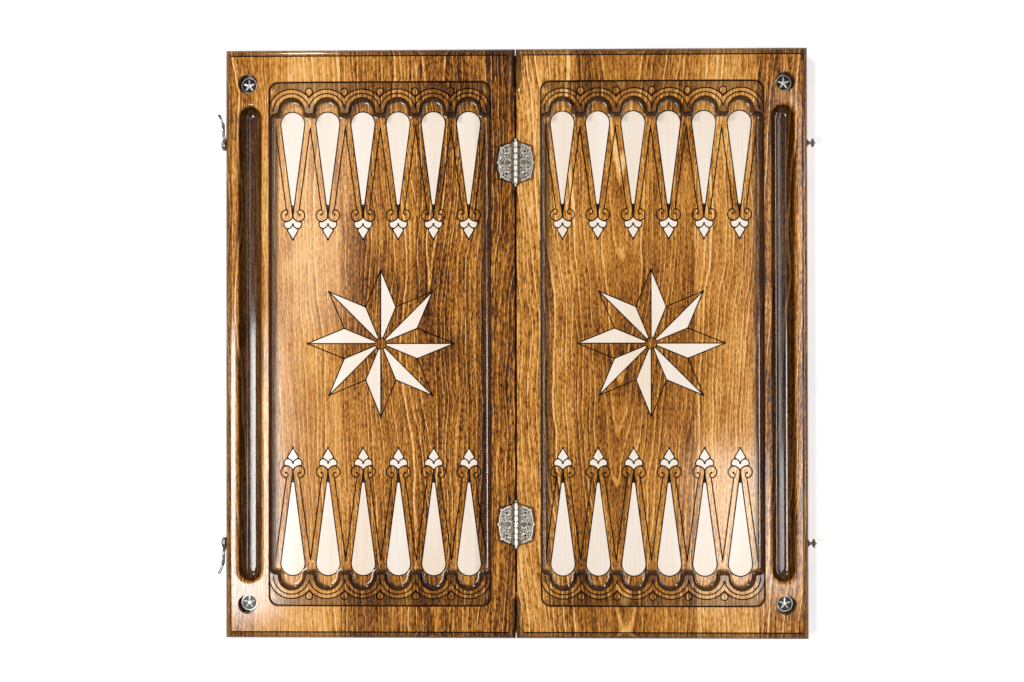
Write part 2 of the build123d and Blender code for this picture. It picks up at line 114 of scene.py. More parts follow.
# The engraver's cutter: half the width and the depth of each kind of line, and its dots; the foot, end and
# seam lines are cut with it too, though they are no engraving
LINE_HALF, LINE_DEPTH = 0.68 * MM, 0.5 * MM
FINE_HALF = 0.64 * MM
STEM_HALF, STEM_DEPTH = 0.8 * MM, 0.7 * MM
# A dark line along the foot of each ledge's wall
FOOT_HALF, FOOT_DEPTH = 0.75 * MM, 0.05 * MM
# Painted shade: dark lines where the ends' rounding begins and along both edges of the seam
END_HALF, END_DEPTH = 0.6 * MM, 0.3 * MM
SEAM_HALF, SEAM_DEPTH = 0.6 * MM, 0.2 * MM
DOT_RADIUS, DOT_DEPTH = 1.2 * MM, 0.7 * MM
STAR_TIP_DOT, STAR_WAIST_DOT, STAR_CORE_DOT = 1.3 * MM, 1.0 * MM, 0.95 * MM

# The raised work on the metal: the scrolls' wire, and the petals of the rosette
WIRE_HALF, WIRE_HEIGHT = 0.55 * MM, 0.42 * MM
PETALS = 5
PETAL_HALF, PETAL_HEIGHT = 1.15 * MM, 0.35 * MM
PETAL_SHINE = 1.4
MEDALLION_RIM_HEIGHT = 0.5 * MM
MEDALLION_BRIGHT_EDGE = 0.5 * MM

HALVES = (("left", -1), ("right", 1))
ROWS = (("far", 1), ("near", -1))


def in_short_runs(path, longest=7.0 * MM, shortest=0.002 * MM):
    """The same path without double points, and with its long runs divided."""
    points = [path[0]]
    for place in path[1:]:
        gap = float(np.linalg.norm(place - points[-1]))
        if gap < shortest:
            continue
        parts = math.ceil(gap / longest)
        start = points[-1]
        points += [start + (place - start) * i / parts for i in range(1, parts + 1)]
    return np.array(points)


class Stroke:
    """One pass of a cutter along a path: a groove, or with a negative depth a ridge."""

    def __init__(self, path, half_width=LINE_HALF, depth=LINE_DEPTH, stain=1.0):
        self.path = in_short_runs(np.array(path, float))
        self.half = half_width
        self.depth = depth
        self.stain = stain

    def placed(self, x, y, flip=1):
        path = self.path * (1, flip) + (x, y)
        return Stroke(path, self.half, self.depth, self.stain)

    def turned(self, angle):
        c, s = math.cos(angle), math.sin(angle)
        return Stroke(self.path @ np.array([[c, s], [-s, c]]), self.half, self.depth, self.stain)

    def box(self):
        return self.path.min(0) - self.half, self.path.max(0) + self.half

    def sides(self):
        """The two borders of the stroke, set wider at its turns, or a ring around a dot."""
        path = self.path
        if len(path) == 1:
            turns = np.linspace(0, 2 * math.pi, 13)
            return [path[0] + self.half * np.stack([np.cos(turns), np.sin(turns)], 1)]
        run = np.diff(path, axis=0)
        run /= np.linalg.norm(run, axis=1)[:, None]
        before = np.vstack([run[:1], run])
        after = np.vstack([run, run[-1:]])
        along = before + after
        along /= np.linalg.norm(along, axis=1)[:, None]
        across = np.stack([-along[:, 1], along[:, 0]], 1)
        spread = self.half / np.clip((across * np.stack([-after[:, 1], after[:, 0]], 1)).sum(1), 0.45, 1)
        return [path + across * spread[:, None], path - across * spread[:, None]]

    def bite(self, points):
        """How far into the stroke each point lies, from 0 at its borders to 1 on its path."""
        reach = np.full(len(points), np.inf)
        starts = self.path[:-1] if len(self.path) > 1 else self.path
        ends = self.path[1:] if len(self.path) > 1 else self.path
        for a, b in zip(starts, ends):
            way = b - a
            span = max(float(way @ way), 1e-18)
            t = np.clip((points - a) @ way / span, 0, 1)
            reach = np.minimum(reach, np.linalg.norm(points - a - t[:, None] * way, axis=1))
        return np.clip(1 - reach / self.half, 0, 1)


def arc_through(start, middle, end, steps):
    """Points on the arc through three points, in the unit they are given in."""
    (ax, ay), (bx, by), (cx, cy) = start, middle, end
    d = 2 * (ax * (by - cy) + bx * (cy - ay) + cx * (ay - by))
    sa, sb, sc = ax * ax + ay * ay, bx * bx + by * by, cx * cx + cy * cy
    ux = (sa * (by - cy) + sb * (cy - ay) + sc * (ay - by)) / d
    uy = (sa * (cx - bx) + sb * (ax - cx) + sc * (bx - ax)) / d
    radius = math.hypot(ax - ux, ay - uy)
    first = math.atan2(ay - uy, ax - ux)
    half_way = (math.atan2(by - uy, bx - ux) - first) % (2 * math.pi)
    whole = (math.atan2(cy - uy, cx - ux) - first) % (2 * math.pi)
    if half_way > whole:
        whole -= 2 * math.pi
    turns = [first + whole * i / steps for i in range(steps + 1)]
    return [(ux + radius * math.cos(t), uy + radius * math.sin(t)) for t in turns]


def ring(radius, first, last, steps, centre):
    """Points on a circle, from one angle to another in degrees."""
    turns = np.radians(np.linspace(first, last, steps + 1))
    return np.stack([centre[0] + radius * np.cos(turns), centre[1] + radius * np.sin(turns)], 1)


def in_mm(points):
    return np.array(points, float) * MM


def point_strokes():
    """The lines round one point, measured from its row's middle line; Y is from the case's middle."""
    turn = math.acos(POINT_ROUND / POINT_TAPER)
    edge = POINT_ROUND + 0.25 * MM
    drop = ring(edge, -90 + math.degrees(turn), 270 - math.degrees(turn), 40, (0, POINT_LINE))
    tip = (0, POINT_LINE - POINT_TAPER * edge / POINT_ROUND)
    outline = np.vstack([[tip], drop, [tip]])
    strokes = [Stroke(outline, FINE_HALF, LINE_DEPTH)]
    strokes.append(Stroke([(0, FINIAL_LINE + 7.0 * MM), (0, FINIAL_LINE)], STEM_HALF, STEM_DEPTH))
    finial = np.array((0, FINIAL_LINE))
    flank = np.vstack([[(PITCH / 2, POINT_LINE - 3.7 * MM)], finial + in_mm([(7.5, 13.4), (6.6, 7.6)])])
    volute = finial + in_mm(
        arc_through((0, 0), (3.0, -3.4), (6.5, -4.6), 6)
        + arc_through((6.5, -4.6), (12.4, 1.8), (7.9, 7.6), 14)[1:]
        + arc_through((7.9, 7.6), (5.8, 6.8), (5.2, 5.2), 4)[1:]
        + arc_through((5.2, 5.2), (5.5, 3.4), (7.0, 2.5), 5)[1:]
    )
    lobe = finial + in_mm(
        arc_through((0, 0), (4.2, -4.1), (8.8, -5.0), 8)
        + arc_through((8.8, -5.0), (9.0, -9.0), (5.2, -12.2), 8)[1:]
        + [(5.5, -14.2), (0, -23.5)]
    )
    fold = finial + in_mm(arc_through((5.2, -12.2), (2.6, -11.0), (0, -7.7), 6))
    for flip in (1, -1):
        for path in (flank, volute, lobe, fold):
            strokes.append(Stroke(path * (flip, 1)))
        for x, y in ((5.2, -12.2), (7.1, 2.4)):
            strokes.append(Stroke([finial + in_mm((x * flip, y))], DOT_RADIUS, DOT_DEPTH))
    for y in (-7.5, -23.5, 0.0):
        strokes.append(Stroke([finial + in_mm((0, y))], DOT_RADIUS, DOT_DEPTH))
    return strokes


def star_strokes():
    """The star's lines: both edges of each blade, its middle line, and the dots of its core."""
    half_turn = math.pi / STAR_TIPS
    waist = np.array([math.cos(half_turn), math.sin(half_turn)]) * STAR_WAIST
    core = waist * STAR_CORE / STAR_WAIST
    strokes = []
    for i in range(STAR_TIPS):
        blade = [
            Stroke([(STAR_CORE, 0), (STAR_RADIUS, 0)], FINE_HALF, LINE_DEPTH),
            Stroke([core, waist], FINE_HALF, LINE_DEPTH),
            Stroke([waist, (STAR_RADIUS, 0)], FINE_HALF, LINE_DEPTH),
            Stroke([waist * (1, -1), (STAR_RADIUS, 0)], FINE_HALF, LINE_DEPTH),
            Stroke([(STAR_RADIUS - 0.4 * MM, 0)], STAR_TIP_DOT, DOT_DEPTH),
            Stroke([waist], STAR_WAIST_DOT, DOT_DEPTH),
            Stroke([(STAR_CORE, 0)], STAR_CORE_DOT, DOT_DEPTH),
            Stroke([core], STAR_CORE_DOT, DOT_DEPTH),
        ]
        strokes += [stroke.turned(math.pi / 2 + 2 * half_turn * i) for stroke in blade]
    return strokes


def ledge_strokes():
    """The ledge's double arcs over each arch, the drops between them, and a dark line along the foot of the
    ledge's wall; X is from the field's middle.
    """
    strokes = []
    for i in range(POINTS):
        x = (i - (POINTS - 1) / 2) * PITCH
        for radius in LEDGE_ARCS:
            meet = math.degrees(math.acos(PITCH / 2 / radius))
            first = meet if i < POINTS - 1 else 3
            last = 180 - meet if i > 0 else 177
            strokes.append(Stroke(ring(radius, first, last, 22, (x, LEDGE_CENTRE)), LINE_HALF, LINE_DEPTH))
        if i < POINTS - 1:
            drop = ring(3.7 * MM, -42, 222, 14, (x + PITCH / 2, LEDGE_DROP))
            foot = (x + PITCH / 2, LEDGE_DROP - 5.6 * MM)
            strokes.append(Stroke(np.vstack([[foot], drop, [foot]]), FINE_HALF, LINE_DEPTH))
    inset = 0.45 * MM
    half, end = FIELD_HALF_WIDTH - inset, FIELD_END - inset
    for flip in (1, -1):
        corner = ring(LEDGE_CORNER - inset, 0, 90, 8, (half - LEDGE_CORNER, end - LEDGE_CORNER))
        foot = np.vstack([[(half, TONGUE_LINE)], corner, [(0, end)]])
        strokes.append(Stroke(foot * (flip, 1), FOOT_HALF, FOOT_DEPTH))
    return strokes


def top_strokes(side):
    """Painted shade lines, cut into one half's top and darkened: where the rounding of its ends begins, and
    along the seam.
    """
    strokes = []
    for _, end in ROWS:
        y = end * (CASE_END - EDGE_ROUND - 0.5 * MM)
        run = [(0.0, y), (side * (CASE_SIDE - EDGE_ROUND), y)]
        strokes.append(Stroke(run, END_HALF, END_DEPTH))
    seam = [(side * SEAM_HALF, -CASE_END), (side * SEAM_HALF, CASE_END)]
    strokes.append(Stroke(seam, SEAM_HALF, SEAM_DEPTH))
    return strokes


def field_strokes(side):
    """Every engraved line of one half's floor."""
    strokes = [stroke.placed(side * FIELD_MIDDLE, 0) for stroke in star_strokes()]
    for _, end in ROWS:
        for i in range(POINTS):
            x = side * FIELD_MIDDLE + (i - (POINTS - 1) / 2) * PITCH
            strokes += [stroke.placed(x, 0, end) for stroke in point_strokes()]
    return strokes


def ends_strokes(side):
    """The engraved lines of one half's two ledges."""
    return [stroke.placed(side * FIELD_MIDDLE, 0, end) for _, end in ROWS for stroke in ledge_strokes()]


def scrolls(side, end):
    """The raised scrollwork of one hinge leaf: two sprays of curls about a middle heart."""
    ridges = []

    def add(points):
        path = in_mm(points) * (side, end) + (0, end * HINGE_Y)
        ridges.append(Stroke(path, WIRE_HALF, -WIRE_HEIGHT))

    for flip in (1, -1):
        for x, y, radius, first, last in (
            (7.0, 15.6, 1.5, -60, 210), (12.6, 13.2, 1.5, -40, 200), (6.2, 8.0, 1.5, 90, 400),
            (13.4, 8.0, 1.6, -150, 120), (9.6, 5.6, 1.4, 20, 330), (13.8, 3.4, 1.3, 60, 330),
            (6.4, 3.0, 1.2, -20, 250),
        ):
            add(ring(radius, first, last, 12, (x, y)) * (1, flip))
        add(np.array(arc_through((4.6, 12.4), (9.4, 9.2), (14.6, 10.8), 8)) * (1, flip))
        add(np.array(arc_through((4.6, 1.0), (8.6, 3.4), (11.6, 0.6), 8)) * (1, flip))
        add(np.array(arc_through((15.8, 5.6), (12.0, 6.6), (10.6, 3.2), 6)) * (1, flip))
        around_nail = ring(1.9, 0, 360, 16, (9.4, 11.5))
        add(around_nail * (1, flip))
    add(ring(1.5, 45, 405, 4, (17.0, 0)))
    return ridges


def rosette(x, y):
    """A plain rosette for a medallion: five pointed petals, raised on the dark ground."""
    petal = Stroke(in_mm([(1.3, 0), (4.4, 0)]), PETAL_HALF, -PETAL_HEIGHT, PETAL_SHINE)
    return [petal.turned(math.pi * (0.5 + 2 / PETALS * i)).placed(x, y) for i in range(PETALS)]


# The faces are cut up in millimetres, and places closer than the tolerance become one
CUTTING_SCALE = 1000.0
CUTTING_TOLERANCE = 2e-4

# How far a corner may lie off the level of a flat face, and the longest joins of double corners
LEVEL_TOLERANCE = 2e-5
CAD_JOIN, CUT_JOIN = 2e-6, 1e-6

# Edges that turn by more than this stay sharp
CREASE = math.radians(32.0)


def inside(points, loops, batch=2000):
    """Which points lie inside the region that these edges bound, by counting crossings."""
    odd = np.zeros(len(points), bool)
    a, b = loops[:, 0], loops[:, 1]
    rise = np.where(b[:, 1] == a[:, 1], 1e-12, b[:, 1] - a[:, 1])
    for start in range(0, len(points), batch):
        p = points[start:start + batch]
        crosses = (a[None, :, 1] > p[:, None, 1]) != (b[None, :, 1] > p[:, None, 1])
        at = a[None, :, 0] + (p[:, None, 1] - a[None, :, 1]) * (b[:, 0] - a[:, 0])[None, :] / rise[None, :]
        odd[start:start + batch] = (crosses & (p[:, None, 0] < at)).sum(1) % 2 == 1
    return odd


def split_at(edge, points):
    """New vertices on an edge, at points that lie on it, without opening the faces beside it."""
    start = edge.verts[0]
    made = []
    length = edge.calc_length()
    order = sorted(range(len(points)), key=lambda i: (points[i] - start.co.to_2d()).length, reverse=True)
    for i in order:
        share = (points[i] - start.co.to_2d()).length / length
        length *= share
        edge, vertex = bmesh.utils.edge_split(edge, start, min(max(share, 1e-6), 1 - 1e-6))
        edge = next(e for e in vertex.link_edges if start in e.verts)
        made.append((i, vertex))
    return made


def lattice(low, high, step):
    """Evenly spaced points within a rectangle, which keep the triangles of a wide face short."""
    counts = np.maximum(((high - low) / step).astype(int), 1)
    xs = np.linspace(low[0], high[0], counts[0] + 1)[1:-1]
    ys = np.linspace(low[1], high[1], counts[1] + 1)[1:-1]
    return np.stack(np.meshgrid(xs, ys), -1).reshape(-1, 2)


def sunk_by(strokes, places):
    """How far the strokes sink each place, and how strongly they mark it."""
    bite = np.zeros(len(places))
    drop = np.zeros(len(places))
    for stroke in strokes:
        low, high = stroke.box()
        hit = ((places >= low) & (places <= high)).all(1)
        share = stroke.bite(places[hit])
        deeper = np.abs(share * stroke.depth) > np.abs(drop[hit])
        drop[hit] = np.where(deeper, share * stroke.depth, drop[hit])
        bite[hit] = np.maximum(bite[hit], share * stroke.stain)
    return drop, bite


def tidy_up(mesh):
    """Drops what no face uses, joins double corners and closes slivers missed at sharp tips."""
    bmesh.ops.delete(mesh, geom=[e for e in mesh.edges if not e.link_faces], context="EDGES")
    bmesh.ops.delete(mesh, geom=[v for v in mesh.verts if not v.link_faces], context="VERTS")
    bmesh.ops.remove_doubles(mesh, verts=mesh.verts, dist=CUT_JOIN)
    bmesh.ops.holes_fill(mesh, edges=[e for e in mesh.edges if e.is_boundary], sides=3)
    mesh.normal_update()


def recut(mesh, level, strokes, layers, grid=0.0):
    """Cuts the flat faces at one level again, along the strokes, and sinks them to their depth."""
    flat = [
        f for f in mesh.faces
        if f.normal.z > 0.999 and all(abs(v.co.z - level) < LEVEL_TOLERANCE for v in f.verts)
    ]
    if not flat:
        return
    inner = set(flat)
    edges_of_flat = dict.fromkeys(e for f in flat for e in f.edges)
    rim = [e for e in edges_of_flat if sum(f in inner for f in e.link_faces) == 1]
    corners = list(dict.fromkeys(v for e in rim for v in e.verts))
    number = {v: i for i, v in enumerate(corners)}
    spots = [v.co.to_2d() for v in corners]
    edges = [(number[e.verts[0]], number[e.verts[1]]) for e in rim]
    loops = np.array([[tuple(v.co.to_2d()) for v in e.verts] for e in rim])
    low, high = loops.reshape(-1, 2).min(0), loops.reshape(-1, 2).max(0)
    near = [s for s in strokes if (s.box()[1] > low).all() and (s.box()[0] < high).all()]
    for stroke in near:
        single = len(stroke.path) == 1
        for line in stroke.sides() if single else [stroke.path] + stroke.sides():
            first = len(spots)
            spots += [Vector(p) for p in line]
            edges += [(first + i, first + i + 1) for i in range(len(line) - 1)]
        if single:
            spots.append(Vector(stroke.path[0]))
    if grid:
        points = lattice(low, high, grid)
        spots += [Vector(p) for p in points[inside(points, loops)]]
    scaled = [p * CUTTING_SCALE for p in spots]
    places, lines, faces, origins, line_origins, _ = delaunay_2d_cdt(scaled, edges, [], 0, CUTTING_TOLERANCE)
    places = np.array([tuple(p) for p in places]) / CUTTING_SCALE
    faces = np.array([tuple(f) for f in faces])
    faces = faces[inside(places[faces].mean(1), loops)]
    kept = {}
    for i, sources in enumerate(origins):
        own = [s for s in sources if s < len(corners)]
        if own:
            kept[i] = corners[own[0]]
    added = {}
    for ends, sources in zip(lines, line_origins):
        for source in sources:
            if source < len(rim):
                added.setdefault(source, set()).update(end for end in ends if end not in kept)
    for source, ends in added.items():
        ends = sorted(ends)
        for i, vertex in split_at(rim[source], [Vector(places[e]) for e in ends]):
            kept[ends[i]] = vertex
    bmesh.ops.delete(mesh, geom=flat, context="FACES_ONLY")
    drop, bite = sunk_by(near, places)
    for i in np.unique(faces):
        if i not in kept:
            kept[i] = mesh.verts.new((*places[i], level))
        if not any(f.normal.z > 0.1 for f in kept[i].link_faces):
            kept[i].co.z = level - drop[i]
            kept[i][layers["engraved"]] = bite[i]
    for triangle in faces:
        corners_of_face = [kept[i] for i in triangle]
        if len(set(corners_of_face)) == 3 and mesh.faces.get(corners_of_face) is None:
            mesh.faces.new(corners_of_face).smooth = False
    tidy_up(mesh)


def carved(node, cuts, material, paint=None, slices=()):
    """A piece that stands for a node: its mesh, cut again at each level along its strokes."""
    source = frame["nodes"][node]
    mesh = bmesh.new()
    mesh.from_mesh(source.data)
    bmesh.ops.remove_doubles(mesh, verts=mesh.verts, dist=CAD_JOIN)
    bmesh.ops.dissolve_degenerate(mesh, edges=mesh.edges, dist=1e-7)
    for face in mesh.faces:
        face.smooth = True
    for y in slices:
        whole = mesh.verts[:] + mesh.edges[:] + mesh.faces[:]
        bmesh.ops.bisect_plane(mesh, geom=whole, plane_co=(0.0, y, 0.0), plane_no=(0.0, 1.0, 0.0))
    # On the wood the patina layer holds real stain together with painted shade; on the metal it holds the
    # rubbed places
    layers = {name: mesh.verts.layers.float.new(name) for name in ("engraved", "patina")}
    for level, strokes, grid in cuts:
        recut(mesh, level, strokes, layers, grid)
    if paint:
        paint(mesh, layers["patina"])
    for edge in mesh.edges:
        edge.smooth = len(edge.link_faces) == 2 and edge.calc_face_angle(0) < CREASE
    data = bpy.data.meshes.new(node + "_carved")
    mesh.to_mesh(data)
    mesh.free()
    piece = bpy.data.objects.new(node + "_carved", data)
    bpy.context.scene.collection.objects.link(piece)
    data.materials.append(material)
    weighted = piece.modifiers.new("even_shading", "WEIGHTED_NORMAL")
    weighted.keep_sharp = True
    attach(piece, source["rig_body"])
    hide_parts(node)


def srgb(red, green, blue):
    """A colour given as it looks on screen, 0 to 255, as the linear values that Blender mixes."""
    def linear(v):
        v /= 255
        return v / 12.92 if v <= 0.04045 else ((v + 0.055) / 1.055) ** 2.4
    return (linear(red), linear(green), linear(blue), 1.0)


def add_node(tree, kind, inputs=None, **settings):
    """A node with its settings and inputs; an input is a value or another node's output."""
    made = tree.nodes.new(kind)
    for key, value in settings.items():
        setattr(made, key, value)
    for key, value in (inputs or {}).items():
        if isinstance(value, bpy.types.NodeSocket):
            tree.links.new(value, made.inputs[key])
        else:
            made.inputs[key].default_value = value
    return made


def math_node(tree, operation, *values, clamp=False):
    made = add_node(tree, "ShaderNodeMath", dict(enumerate(values)), operation=operation, use_clamp=clamp)
    return made.outputs[0]


def plus(tree, a, b, clamp=False):
    return math_node(tree, "ADD", a, b, clamp=clamp)


def minus(tree, a, b):
    return math_node(tree, "SUBTRACT", a, b)


def times(tree, a, b, clamp=False):
    return math_node(tree, "MULTIPLY", a, b, clamp=clamp)


def centred(tree, value, amount):
    """A noise about nothing, as large as the amount says."""
    return times(tree, minus(tree, value, 0.5), amount)


def mapped(tree, value, low, high, to_low=0.0, to_high=1.0, **settings):
    """A value moved from one range to another, and held within it."""
    ranges = {"Value": value, "From Min": low, "From Max": high, "To Min": to_low, "To Max": to_high}
    return add_node(tree, "ShaderNodeMapRange", ranges, **settings).outputs[0]


def axes(tree, vector):
    return add_node(tree, "ShaderNodeSeparateXYZ", {"Vector": vector}).outputs


def painted(tree, layer):
    """What was stored on the vertices under this name."""
    return add_node(tree, "ShaderNodeAttribute", attribute_name=layer).outputs["Fac"]


def ramp(tree, value, *stops, interpolation="LINEAR"):
    """A colour ramp: each stop is a place and a colour or a grey."""
    made = add_node(tree, "ShaderNodeValToRGB", {"Fac": value})
    made.color_ramp.interpolation = interpolation
    elements = made.color_ramp.elements
    while len(elements) < len(stops):
        elements.new(0.5)
    for element, (place, colour) in zip(elements, stops):
        element.position = place
        element.color = colour if hasattr(colour, "__len__") else (colour, colour, colour, 1.0)
    return made.outputs["Color"]


def mixed(tree, share, a, b, blend="MIX"):
    inputs = {0: share, 6: a, 7: b}
    return add_node(tree, "ShaderNodeMix", inputs, data_type="RGBA", blend_type=blend).outputs[2]


def noise(tree, vector, scale, detail=3.0, roughness=0.55, distortion=0.0):
    made = add_node(tree, "ShaderNodeTexNoise", {
        "Vector": vector, "Scale": scale, "Detail": detail, "Roughness": roughness, "Distortion": distortion,
    })
    return made.outputs["Fac"]


def stretched(tree, vector, scale, offset=(0.0, 0.0, 0.0)):
    made = add_node(tree, "ShaderNodeMapping", {"Vector": vector, "Scale": scale, "Location": offset})
    return made.outputs["Vector"]


def new_group(name, inputs, outputs):
    """An empty node group with its sockets; it gives back the tree, its inputs and a way to put out."""
    tree = bpy.data.node_groups.new(name, "ShaderNodeTree")
    for way, sockets in (("INPUT", inputs), ("OUTPUT", outputs)):
        for socket_name, kind in sockets:
            tree.interface.new_socket(socket_name, in_out=way, socket_type="NodeSocket" + kind)
    entry = tree.nodes.new("NodeGroupInput").outputs
    leave = tree.nodes.new("NodeGroupOutput").inputs
    return tree, entry, lambda socket_name, value: tree.links.new(value, leave[socket_name])


def use_group(tree, group, **inputs):
    """A group with its inputs set; an underscore stands for a space in an input's name."""
    named = {key.replace("_", " "): value for key, value in inputs.items()}
    return add_node(tree, "ShaderNodeGroup", named, node_tree=group).outputs


# The grain, in waves a metre: how the trunk sways, and how fine its marks are
SWAY, SWAY_REACH = (9.0, 4.5, 3.0), 34 * MM
RIPPLE, RIPPLE_REACH = (75.0, 26.0, 30.0), 4 * MM
FLECKS, FLECKS_OFFSET = (950.0, 210.0, 950.0), (3.0, 1.0, 2.0)
FIBRES = (700.0, 24.0, 700.0)
CLOUDS, CLOUDS_OFFSET = (15.0, 5.5, 11.0), (1.7, 4.2, 0.0)

# How far the rings stray, in years, and how often, in waves a year
UNEVEN_RINGS, UNEVEN_WAVES = 3.2, 0.45

# How the stain and the painted shade break up, and how steeply they set in
STAIN_AND_SHADE_BLOTCHES, STAIN_AND_SHADE_BREAKS = (160.0, 60.0, 160.0), 0.35
STAIN_AND_SHADE_ONSET = 8.0

# How far into a cut line, from 0 at its border to 1 on its middle, its dark colour starts and is full; on
# the end and seam lines this dark is painted shade
DARK_LINE_FROM, DARK_LINE_TO = 0.02, 0.14


def grain_group():
    """Plain-sawn grain along Y, from one tapering trunk: its rings, flecks, fibres and stain clouds."""
    tree, entry, put = new_group(
        "wood_grain",
        [("Place", "Vector")] + [(name, "Float") for name in ("Heart X", "Heart Depth", "Taper", "Rings")],
        [(name, "Float") for name in ("Rings", "Age", "Flecks", "Fibres", "Clouds")],
    )
    place = entry["Place"]
    sway = centred(tree, noise(tree, stretched(tree, place, SWAY), 1.0, 2.0), SWAY_REACH)
    ripple = centred(tree, noise(tree, stretched(tree, place, RIPPLE), 1.0, 2.0), RIPPLE_REACH)
    parts = axes(tree, place)
    across = plus(tree, plus(tree, minus(tree, parts["X"], entry["Heart X"]), sway), ripple)
    depth = minus(tree, entry["Heart Depth"], parts["Z"])
    squares = plus(tree, times(tree, across, across), times(tree, depth, depth))
    grown = minus(tree, math_node(tree, "SQRT", squares), times(tree, parts["Y"], entry["Taper"]))
    years = times(tree, grown, entry["Rings"])
    along_years = add_node(tree, "ShaderNodeCombineXYZ", {"X": years}).outputs[0]
    years = plus(tree, years, times(tree, noise(tree, along_years, UNEVEN_WAVES, 2.0), UNEVEN_RINGS))
    put("Rings", math_node(tree, "FRACT", years))
    year = math_node(tree, "FLOOR", years)
    age = add_node(tree, "ShaderNodeTexWhiteNoise", {"W": year}, noise_dimensions="1D")
    put("Age", age.outputs["Value"])
    put("Flecks", noise(tree, stretched(tree, place, FLECKS, FLECKS_OFFSET), 1.0, 1.0))
    put("Fibres", noise(tree, stretched(tree, place, FIBRES), 1.0, 2.0))
    put("Clouds", noise(tree, stretched(tree, place, CLOUDS, CLOUDS_OFFSET), 1.0, 3.0, 0.6, 0.4))
    return tree


def stain_and_shade_group():
    """Real stain together with painted shade in corners, coves, hollows and gaps, broken up a little, and
    the dark of the cut lines.
    """
    tree, entry, put = new_group(
        "stain_and_painted_shade", [("Place", "Vector")], [("Soil", "Float"), ("Cut", "Float")]
    )
    patina = painted(tree, "patina")
    broken = noise(tree, stretched(tree, entry["Place"], STAIN_AND_SHADE_BLOTCHES), 1.0, 3.0)
    stain_and_shade = plus(tree, patina, centred(tree, broken, STAIN_AND_SHADE_BREAKS))
    held = math_node(tree, "MINIMUM", times(tree, patina, STAIN_AND_SHADE_ONSET), 1.0)
    put("Soil", times(tree, stain_and_shade, held, clamp=True))
    put("Cut", mapped(tree, painted(tree, "engraved"), DARK_LINE_FROM, DARK_LINE_TO))
    return tree


GRAIN = grain_group()
STAIN_AND_SHADE = stain_and_shade_group()

# The burnt colour of the engraved lines, laid also on the painted shade lines and the ledges' foot lines,
# how fully it covers, and how much of the lacquer's gloss it takes
CUT_COLOUR = srgb(12, 6, 3)
CUT_COVER = 0.96
CUT_MATTING = 0.95

# The wood's colours from dark to light, and the tint of the real stain and the painted shade laid on it
WOOD_TONES = (
    (0.0, srgb(40, 16, 0)), (0.22, srgb(98, 50, 3)), (0.5, srgb(174, 110, 32)), (0.76, srgb(224, 160, 76)),
    (1.0, srgb(247, 201, 138)),
)
STAIN_AND_SHADE_TINT = (0.06, 0.035, 0.025, 1.0)
STAIN_AND_SHADE_COVER = 0.95

# How light the wood is through one year's ring, and through its flecks, and the middle of each
RING_LIGHT = ((0.0, 0.4), (0.06, 1.0), (0.17, 1.0), (0.27, 0.12), (0.42, 0.2), (0.8, 0.42), (1.0, 0.4))
RING_MIDDLE = 0.42
FLECK_LIGHT = ((0.34, 0.0), (0.52, 0.3), (0.68, 0.42))
FLECK_MIDDLE = 0.28

# How far the grain of each stave is shifted along from its neighbour's
STAVE_SHIFT = 1.37

# The lacquer over the wood: its roughness, and how high the grain shows through it
LACQUER_LOW, LACQUER_HIGH = 0.08, 0.14
GRAIN_RELIEF = 0.03 * MM

# The veneer's pores and its warmer clouds, in waves a metre
VENEER_PORES = (900.0, 14.0, 900.0)
VENEER_CLOUDS, VENEER_CLOUDS_OFFSET = (24.0, 3.0, 1.0), (5.3, 0.4, 0.0)

# The metals' mottle and speckle, in waves a metre, and how high they stand
METAL_MOTTLE, METAL_SPECKLE = 420.0, 1900.0
METAL_RELIEF = 0.06 * MM


def new_material(name):
    made = bpy.data.materials.new(name)
    made.use_nodes = True
    tree = made.node_tree
    shader = tree.nodes["Principled BSDF"]
    place = add_node(tree, "ShaderNodeTexCoord").outputs["Object"]
    return made, tree, shader, place


def link(tree, value, shader, socket):
    tree.links.new(value, shader.inputs[socket])


def relief(tree, shader, height, distance, strength):
    bump = add_node(tree, "ShaderNodeBump", {"Height": height, "Distance": distance, "Strength": strength})
    link(tree, bump.outputs["Normal"], shader, "Normal")


def stave_number(tree, across, staves):
    """Which stave a place lies in, counted from the left."""
    number = 0.0
    for right_edge, _, _ in staves[:-1]:
        number = plus(tree, number, math_node(tree, "GREATER_THAN", across, right_edge))
    return number


def per_stave(tree, number, values):
    """The value of each stave, with a sharp change at the glue lines."""
    share = math_node(tree, "DIVIDE", plus(tree, number, 0.5), len(values))
    stops = [(i / len(values), value) for i, value in enumerate(values)]
    return ramp(tree, share, *stops, interpolation="CONSTANT")


